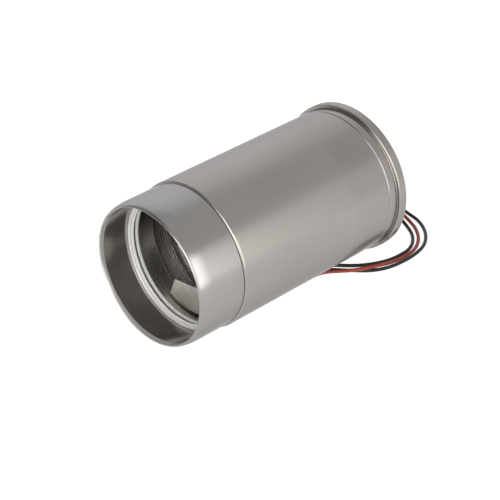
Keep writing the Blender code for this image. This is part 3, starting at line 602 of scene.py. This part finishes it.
def window_stack(frame, finishes):
    clip = [
        (CLIP_FRONT, THROAT_R), (CLIP_FRONT, MOUTH_R - 0.3), (CLIP_FRONT + CLIP_STEP, MOUTH_R - 0.3),
        (CLIP_FRONT + CLIP_STEP, CLIP_R), (CLIP_REAR, CLIP_R), (CLIP_REAR, THROAT_R),
    ]
    piece = turned("clip_ring", rounded(clip, 0.12), frame, [finishes["ring_steel"]])
    stand_for(piece, "collar", "bright_stainless", "window_clip")
    for name, (front, rear) in (("front", FRONT_GASKET), ("rear", REAR_GASKET)):
        gasket = rounded(box_profile(front, rear, GASKET_BORE_R, WINDOW_R))
        piece = turned(name + "_gasket_ring", gasket, frame, [finishes["silicone"]])
        stand_for(piece, "collar", "pale_silicone", "window_" + name + "_gasket")
    front, rear = WINDOW
    pane = [(front, 0.0), (front, WINDOW_R - 0.3), (front + 0.3, WINDOW_R), (rear - 0.3, WINDOW_R)]
    pane += [(rear, WINDOW_R - 0.3), (rear, 0.0)]
    stand_for(turned("window_pane", pane, frame, [finishes["window"]]), "collar", "quartz", "quartz_window")


def lock_ring(frame, finish):
    """The ring that clamps the lamp support, with two notches for a key across its bore."""
    inner, outer = LOCK_RING_RADII
    plain = rounded(box_profile(*LOCK_RING, inner, outer), 0.3)
    notched = rounded(box_profile(*LOCK_RING, LOCK_NOTCH_R, outer), 0.3)
    edge = math.asin(LOCK_NOTCH_HALF / LOCK_NOTCH_R)
    sections = []
    for half_turn in (0.0, math.pi):
        for step in range(5):
            sections.append(around(notched, half_turn - edge + 2 * edge * step / 4))
        start = edge + 0.001
        for step in range(73):
            sections.append(around(plain, half_turn + start + (math.pi - 2 * start) * step / 72))
    bm = bmesh.new()
    loft(bm, sections, ring=True)
    return shaped("lock_ring_notched", bm, frame, [finish])


def lamp_glass(frame, finish):
    """The hollow U of the lamp, its legs to the rear."""
    leg = [LAMP_REAR + (LAMP_BEND_AT - LAMP_REAR) * (step / 11) for step in range(12)]
    path = [(-LAMP_LEG_X, along, 0.0) for along in leg]
    for step in range(1, 32):
        angle = math.pi * step / 32
        path.append((-LAMP_LEG_X * math.cos(angle), LAMP_BEND_AT - LAMP_LEG_X * math.sin(angle), angle))
    path += [(LAMP_LEG_X, along, math.pi) for along in reversed(leg)]
    outside = []
    inside = []
    for x, along, angle in path:
        for sections, radius in ((outside, LAMP_TUBE_R), (inside, LAMP_TUBE_R - LAMP_WALL)):
            section = []
            for side in range(32):
                turn = 2 * math.pi * side / 32
                away = radius * math.cos(turn)
                spot = (x - away * math.cos(angle), radius * math.sin(turn), along - away * math.sin(angle))
                section.append(Vector(spot) * MM)
            sections.append(section)
    bm = bmesh.new()
    loft(bm, outside + inside[::-1], ring=True)
    return shaped("lamp_glass", bm, frame, [finish])


def lamp_support(frame, finishes):
    stand_for(lock_ring(frame, finishes["small_steel"]), "lock_ring", "bright_stainless", "lock_ring")
    washer = rounded(box_profile(*LOCK_WASHER, *LOCK_WASHER_RADII))
    piece = turned("lock_washer_ring", washer, frame, [finishes["small_steel"]])
    stand_for(piece, "lock_washer", "bright_stainless", "lock_washer")
    plate = rounded(box_profile(*DIAPHRAGM, DIAPHRAGM_HOLE_R, DIAPHRAGM_R))
    piece = turned("diaphragm_plate", plate, frame, [finishes["sheet"]])
    stand_for(piece, "housing", "sheet_metal", "lamp_diaphragm")
    stop = rounded(box_profile(*STOP_RING, *STOP_RING_RADII))
    piece = turned("stop_snap_ring", stop, frame, [finishes["small_steel"]])
    stand_for(piece, "housing", "bright_stainless", "carrier_stop_ring")
    front = DIAPHRAGM[0] - FIT_GAP
    rear = DIAPHRAGM[1] + FIT_GAP
    neck_r = DIAPHRAGM_HOLE_R - FIT_GAP
    cushion = [
        (front - CUSHION_FLANGE, CUSHION_BORE_R), (front - CUSHION_FLANGE, CUSHION_FLANGE_R),
        (front, CUSHION_FLANGE_R), (front, neck_r), (rear, neck_r), (rear, CUSHION_FLANGE_R),
        (rear + CUSHION_FLANGE, CUSHION_FLANGE_R), (rear + CUSHION_FLANGE, CUSHION_BORE_R),
    ]
    piece = turned("cushion_ring", rounded(cushion, 0.4), frame, [finishes["silicone"]])
    stand_for(piece, "housing", "pale_silicone", "lamp_cushion")
    stand_for(lamp_glass(frame, finishes["lamp"]), "lamp", "quartz", "lamp_tube")


def cap_screw(name, x, frame, finish):
    """A button head screw with a hexagon socket."""
    front, rear = CAP_SCREW_HEAD
    place = frame @ Matrix.Translation((x * MM, 0.0, 0.0))
    sides = 48
    sections = []
    for side in range(sides):
        angle = 2 * math.pi * side / sides
        corner = (angle + math.pi / 6) % (math.pi / 3) - math.pi / 6
        socket_r = 1.1 / math.cos(corner)
        profile = [
            (CAP_SCREW_TIP, 0.0), (CAP_SCREW_TIP, CAP_SCREW_R - 0.2), (CAP_SCREW_TIP + 0.3, CAP_SCREW_R),
            (front, CAP_SCREW_R), (front, CAP_SCREW_HEAD_R - 0.1), (front + 0.15, CAP_SCREW_HEAD_R),
            (front + 0.5, CAP_SCREW_HEAD_R), (front + 0.95, CAP_SCREW_HEAD_R - 0.35),
            (rear, CAP_SCREW_HEAD_R - 0.95), (rear, socket_r + 0.06), (rear - 0.06, socket_r),
            (rear - 0.8, socket_r), (rear - 0.9, 0.0),
        ]
        sections.append(around(profile, angle))
    bm = bmesh.new()
    loft(bm, sections, ring=True)
    return shaped(name, bm, place, [finish])


def lead_boot(frame, finish):
    """The rubber boot in the end wall: a grommet with a tapered, ribbed sleeve."""
    neck_r = BOOT_HOLE_R - FIT_GAP
    front = WALL_FRONT - FIT_GAP
    rear = WALL_REAR + FIT_GAP
    shoulder = rear + CUSHION_FLANGE
    profile = [
        (BOOT_FRONT, 0.0), (BOOT_FRONT, BOOT_FLANGE_R), (front, BOOT_FLANGE_R), (front, neck_r),
        (rear, neck_r), (rear, BOOT_FLANGE_R), (shoulder, BOOT_FLANGE_R), (shoulder, neck_r),
    ]
    for rib in range(3):
        start = shoulder + 0.9 + 1.7 * rib
        size = neck_r - 0.1 - 0.3 * rib
        profile += [
            (start, size - 0.7), (start + 0.5, size - 0.75), (start + 0.7, size), (start + 1.4, size - 0.15),
        ]
    bottom = BOOT_END - LEAD_DEPTH
    profile += [(BOOT_END, BOOT_END_R - 0.4), (BOOT_END, 4.0), (bottom, 3.8), (bottom, 0.0)]
    return turned("lead_boot", rounded(profile, 0.25), frame, [finish], sides=96)


def rear_fittings(frame, finishes):
    for name, side in (("left", -1), ("right", 1)):
        piece = cap_screw("cap_screw_socket_" + name, side * CAP_SCREW_X, frame, finishes["small_steel"])
        stand_for(piece, "housing", "bright_stainless", "cap_screw_" + name)
    stand_for(lead_boot(frame, finishes["rubber"]), "housing", "seal_rubber", "lead_grommet")


def smooth_route(points, step):
    """Evenly spaced points on a smooth curve through the route's own points."""
    ends = [2 * points[0] - points[1]] + points + [2 * points[-1] - points[-2]]
    fine = []
    for before, start, end, after in zip(ends, ends[1:], ends[2:], ends[3:]):
        for part in range(12):
            t = part / 12
            bend = 2 * before - 5 * start + 4 * end - after
            twist = 3 * start - before - 3 * end + after
            fine.append(0.5 * (2 * start + (end - before) * t + bend * t ** 2 + twist * t ** 3))
    fine.append(points[-1])
    lengths = [0.0]
    for here, there in zip(fine, fine[1:]):
        lengths.append(lengths[-1] + (there - here).length)
    count = max(3, round(lengths[-1] / step))
    route = [fine[0]]
    for number in range(1, count):
        target = lengths[-1] * number / count
        index = next(i for i, length in enumerate(lengths) if length >= target)
        share = (target - lengths[index - 1]) / (lengths[index] - lengths[index - 1])
        route.append(fine[index - 1].lerp(fine[index], share))
    return route + [fine[-1]]


def lead_curve(name, points, finish):
    data = bpy.data.curves.new(name, "CURVE")
    data.dimensions = "3D"
    data.bevel_depth = LEAD_D / 2 * MM
    data.bevel_resolution = 5
    data.use_fill_caps = True
    spline = data.splines.new("POLY")
    spline.points.add(len(points) - 1)
    for target, point in zip(spline.points, points):
        target.co = (*point, 1.0)
    spline.use_smooth = True
    data.materials.append(finish)
    piece = bpy.data.objects.new(name, data)
    bpy.context.scene.collection.objects.link(piece)
    return piece


def bare_strands(name, start, forward, finish):
    """The twisted, tinned strands of a bare lead end."""
    length = 6.8
    turns = 1.6
    steps = 20
    strand_r = 0.165
    ring_r = 0.33
    bm = bmesh.new()
    for strand in range(7):
        away = 0.0 if strand == 0 else ring_r
        sections = []
        for step in range(steps + 1):
            share = step / steps
            angle = 2 * math.pi * (strand / 6 + turns * share)
            centre = Vector((away * math.cos(angle), away * math.sin(angle), length * share))
            section = []
            for side in range(6):
                turn = math.pi * side / 3
                section.append((centre + strand_r * Vector((math.cos(turn), math.sin(turn), 0.0))) * MM)
            sections.append(section)
        loft(bm, sections, ring=False)
    place = Matrix.Translation(start) @ forward.to_track_quat("Z", "Y").to_matrix().to_4x4()
    return shaped(name, bm, place, [finish])


def leads(frame, finishes):
    routes = {"outer": ROUTE_OUTER, "red": ROUTE_RED, "inner": ROUTE_INNER}
    nodes = {"outer": "lead_black_outer", "red": "lead_red", "inner": "lead_black_inner"}
    for lead, route in routes.items():
        angle = math.radians(LEAD_ANGLES[lead])
        across = LEAD_RING_R * math.cos(angle)
        down = -LEAD_RING_R * math.sin(angle)
        stations = (BOOT_END - LEAD_DEPTH, BOOT_END + LEAD_D)
        exits = [frame @ (Vector((across, down, along)) * MM) for along in stations]
        points = smooth_route(exits + [Vector(spot) * MM for spot in route], LEAD_POINT_STEP * MM)
        colour = "red" if lead == "red" else "black"
        piece = lead_curve("flying_lead_" + lead, points, finishes[colour + "_cover"])
        stand_for(piece, "housing", colour + "_lead_cover", nodes[lead])
        forward = (points[-1] - points[-2]).normalized()
        start = points[-1] - forward * BARE_OVERLAP * MM
        bare = bare_strands("bare_strands_" + lead, start, forward, finishes["tin"])
        stand_for(bare, "housing", "tinned_copper", "tinned_end_" + lead)


def dress_solids(frame, finishes):
    """A finish for every solid that stays in view."""
    by_slot = {
        "satin_stainless": "tube_steel", "bright_stainless": "small_steel", "sheet_metal": "sheet",
        "plated_brass": "brass", "tinned_copper": "tin", "pale_silicone": "silicone",
        "seal_rubber": "rubber", "quartz": "lamp", "ceramic": "ceramic",
        "red_lead_cover": "red_cover", "black_lead_cover": "black_cover",
    }
    for subpart in frame["record"]["subparts"]:
        solid = frame["nodes"][subpart["node"]]
        solid.data.materials.clear()
        solid.data.materials.append(finishes[by_slot[subpart["material_slot"]]])
    frame["nodes"]["lamp_guard"].data.materials[0] = finishes["guard_sheet"]


def floor():
    bm = bmesh.new()
    bmesh.ops.create_grid(bm, x_segments=1, y_segments=1, size=2.0)
    paper = Finish(
        "lit_table", (0.25, 0.25, 0.25), 0.9,
        Emission_Color=(1.0, 1.0, 1.0, 1.0), Emission_Strength=0.9,
    )
    shaped("floor", bm, Matrix.Identity(4), [paper.material])


def right_wall():
    """A glowing wall on the right, brightest beside the mouth."""
    near_y, far_y = WALL_Y
    corners = [(WALL_X, near_y, 0), (WALL_X, far_y, 0), (WALL_X, far_y, WALL_TOP), (WALL_X, near_y, WALL_TOP)]
    bm = bmesh.new()
    bm.faces.new([bm.verts.new(Vector(corner) * MM) for corner in corners])
    glow = Finish("wall_glow", (0.0, 0.0, 0.0), 1.0, Emission_Color=(*WARM_LIGHT, 1.0))
    spot = glow.spot(Matrix.Identity(4))
    along = glow.merge("ABSOLUTE", spot["Y"], 0.0)
    near = glow.fade(along, 0.0, GLOW_REACH, WALL_GLOW, 0.0)
    low = glow.fade(spot["Z"], GLOW_TOP, WALL_TOP, 1.0, 0.0)
    glow.feed("Emission Strength", glow.merge("ADD", glow.merge("MULTIPLY", near, low), WALL_LEVEL))
    wall = shaped("right_wall", bm, Matrix.Identity(4), [glow.material])
    wall.visible_camera = False


def studio():
    """A white tent with a darker roof, a dark corner at the front left and a soft lamp at the front right."""
    world = bpy.data.worlds.new("tent")
    world.use_nodes = True
    sky = Graph(world.node_tree)
    direction = sky.add("ShaderNodeTexCoord").outputs["Generated"]

    def toward(target):
        made = sky.add("ShaderNodeVectorMath", {"operation": "DOT_PRODUCT"}, {0: direction, 1: target})
        return made.outputs["Value"]

    roof = sky.fade(toward((0.27, 0.0, 1.0)), 0.62, 0.72, 0.0, ROOF_LEVEL - WALL_LEVEL)
    corner = sky.fade(toward((-0.62, -0.62, 0.48)), 0.55, 0.85, 0.0, -0.6)
    left = sky.fade(toward((-0.80, 0.60, -0.10)), 0.60, 1.0, 0.0, 0.36)
    front = sky.fade(toward((0.48, -0.80, 0.36)), 0.80, 0.94, 0.0, FRONT_GLOW)
    level = sky.merge("MAXIMUM", sky.merge("ADD", roof, corner, left, front, WALL_LEVEL), 0.1)
    warmth = sky.fade(toward((1.0, 0.0, 0.0)), -0.5, 0.5, 0.0, 1.0)
    colour = sky.tint(warmth, COOL_LIGHT, WARM_LIGHT)
    background = sky.tree.nodes["Background"]
    sky.tree.links.new(level, background.inputs["Strength"])
    sky.tree.links.new(colour, background.inputs["Color"])
    bpy.context.scene.world = world
    right_wall()


def camera():
    data = bpy.data.cameras.new("photo_camera")
    data.lens = CAMERA_LENS
    data.sensor_width = CAMERA_SENSOR
    eye = bpy.data.objects.new("photo_camera", data)
    eye.location = Vector(CAMERA_PLACE) * MM
    eye.rotation_euler = Vector(CAMERA_LOOK).to_track_quat("-Z", "Y").to_euler()
    bpy.context.scene.collection.objects.link(eye)
    bpy.context.scene.camera = eye


def main():
    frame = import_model()
    joint = next(joint for joint in frame["joints"] if joint["name"] == "collar_turn")
    axis = canister_frame(joint)
    finishes = make_finishes(axis)
    camera()
    leads(axis, finishes)
    dress_solids(frame, finishes)
    shell(axis, finishes)
    window_stack(axis, finishes)
    lamp_support(axis, finishes)
    rear_fittings(axis, finishes)
    floor()
    studio()
    bpy.context.scene.view_settings.view_transform = "Standard"


main()
